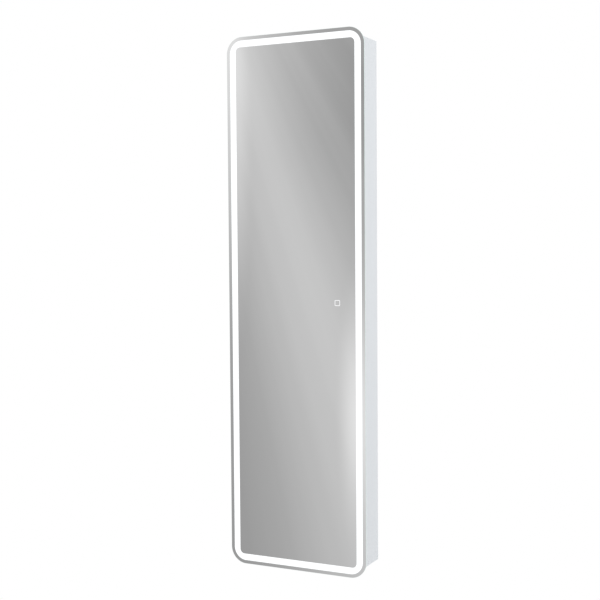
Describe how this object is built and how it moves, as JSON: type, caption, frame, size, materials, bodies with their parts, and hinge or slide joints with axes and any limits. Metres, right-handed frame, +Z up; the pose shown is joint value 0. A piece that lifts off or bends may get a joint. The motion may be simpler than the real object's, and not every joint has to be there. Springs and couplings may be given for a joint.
{
  "type": "lighted mirror cabinet",
  "caption": "Tall shallow wall cabinet with one hinged full-height mirror door, rounded corners, a frosted lit band near the mirror's edge and a touch switch.",
  "frame": {"origin": "on the wall plane, centre of the four wall screw holes", "axes": "+X to the right as one faces the cabinet, +Y into the wall, +Z up"},
  "size_m": [0.45, 0.145, 1.6],
  "materials": {
    "white_board": "white melamine film on board, satin",
    "mirror_silver": "silvered float glass, polished",
    "shelf_glass": "clear float glass with polished edges",
    "frame_aluminium": "satin anodised",
    "opal_plastic": "opal acrylic, lit from behind",
    "light_strip": "white circuit strip with small lights",
    "hinge_steel": "nickel-plated steel",
    "screw_steel": "zinc-plated steel",
    "fitting_zinc": "die-cast zinc",
    "beech": "turned beech",
    "cover_paint": "white powder coat on steel sheet",
    "white_plastic": "moulded white plastic",
    "driver_plastic": "moulded white plastic, fine grain",
    "grey_plastic": "moulded grey plastic",
    "lead_jacket": "soft white cable jacket",
    "clear_silicone": "clear soft silicone",
    "foam_tape": "grey foam tape",
    "magnet_steel": "nickel-plated magnet",
    "circuit_board": "green circuit board"
  },
  "bodies": {
    "cabinet": {"back_panel": "white_board", "bottom_panel": "white_board", "bump_pads": "clear_silicone", "cable_gland": "grey_plastic", "cam_bolts": "fitting_zinc", "cam_discs": "fitting_zinc", "catch_housings": "white_plastic", "catch_magnets": "magnet_steel", "catch_screws": "screw_steel", "door_lead": "lead_jacket", "gland_locknut": "grey_plastic", "glass_shelf_1": "shelf_glass", "glass_shelf_2": "shelf_glass", "glass_shelf_3": "shelf_glass", "glass_shelf_4": "shelf_glass", "glass_shelf_5": "shelf_glass", "hanging_rail_bottom": "white_board", "hanging_rail_top": "white_board", "hinge_body_leaves": "hinge_steel", "hinge_body_screws": "screw_steel", "hinge_pins": "hinge_steel", "lead_clip": "white_plastic", "lead_grommet_body": "grey_plastic", "led_driver": "driver_plastic", "mains_inner_lead": "lead_jacket", "service_cleat": "white_board", "service_cover": "cover_paint", "service_divider": "white_board", "service_screws": "screw_steel", "shelf_pins": "fitting_zinc", "side_panel_left": "white_board", "side_panel_right": "white_board", "terminal_block": "white_plastic", "terminal_screws": "screw_steel", "top_panel": "white_board", "wood_dowels": "beech"},
    "door": {"mirror_glass": "mirror_silver", "light_diffuser": "opal_plastic", "door_stile_left": "frame_aluminium", "door_stile_right": "frame_aluminium", "door_rail_top": "frame_aluminium", "door_rail_bottom": "frame_aluminium", "door_corners": "frame_aluminium", "led_strip_left": "light_strip", "led_strip_right": "light_strip", "led_strip_top": "light_strip", "led_strip_bottom": "light_strip", "strip_links": "lead_jacket", "strip_feed_lead": "lead_jacket", "door_board": "white_board", "bonding_tape": "foam_tape", "frame_screws": "screw_steel", "touch_sensor": "circuit_board", "sensor_lead": "lead_jacket", "lead_connector": "white_plastic", "lead_grommet_door": "grey_plastic", "hinge_door_leaves": "hinge_steel", "hinge_door_screws": "screw_steel", "strike_plates": "hinge_steel", "strike_screws": "screw_steel"}
  },
  "joints": [
    {"name": "door_swing", "type": "hinge", "parent": "cabinet", "child": "door", "pos_m": [-0.2064, -0.123, 0], "axis": [0, 0, -1], "range_deg": [0, 105], "deforming": ["door_lead"]}
  ]
}
